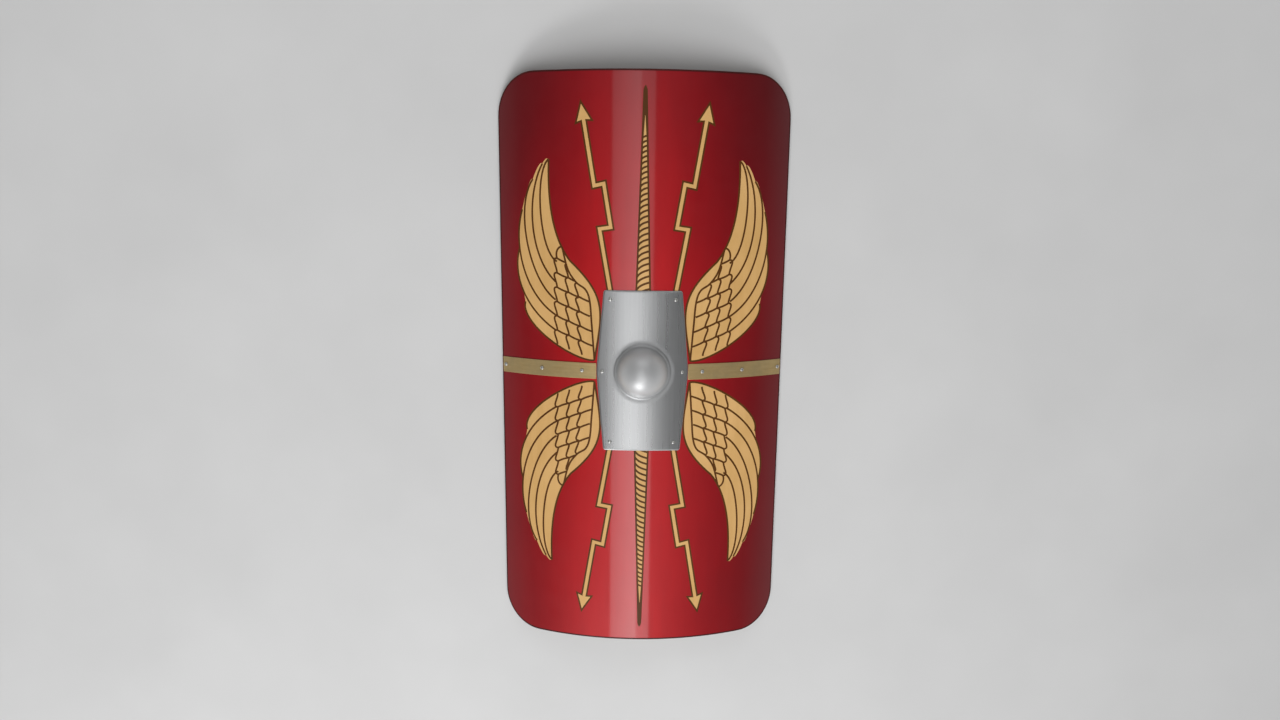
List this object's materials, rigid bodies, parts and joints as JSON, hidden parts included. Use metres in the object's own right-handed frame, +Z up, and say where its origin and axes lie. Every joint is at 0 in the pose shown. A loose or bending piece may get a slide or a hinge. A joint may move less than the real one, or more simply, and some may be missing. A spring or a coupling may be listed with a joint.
{
  "type": "roman scutum shield",
  "caption": "Curved rectangular Roman infantry shield with painted facing, domed steel boss plate, brass side bands and a wooden grip across the hand hole behind.",
  "frame": {"origin": "on the ground under the middle of the shield as it lies face up on its two long edges", "axes": "+Z up, out of the painted face at the boss; +Y along the shield to its top edge; +X across it, to the right as its face is seen with the top edge up"},
  "size_m": [0.5252, 1.05, 0.1251],
  "materials": {
    "painted_board": "painted facing, satin",
    "boss_steel": "brushed",
    "band_brass": "dull",
    "grip_wood": "oiled",
    "rivet_steel": "satin"
  },
  "bodies": {
    "root": {"board": "painted_board", "boss_plate": "boss_steel", "band_left": "band_brass", "band_right": "band_brass", "grip": "grip_wood", "plate_rivet_upper_left": "rivet_steel", "plate_rivet_upper_right": "rivet_steel", "plate_rivet_lower_left": "rivet_steel", "plate_rivet_lower_right": "rivet_steel", "plate_rivet_waist_left": "rivet_steel", "plate_rivet_waist_right": "rivet_steel", "band_rivet_inner_left": "rivet_steel", "band_rivet_inner_right": "rivet_steel", "band_rivet_middle_left": "rivet_steel", "band_rivet_middle_right": "rivet_steel", "band_rivet_outer_left": "rivet_steel", "band_rivet_outer_right": "rivet_steel"}
  },
  "joints": []
}
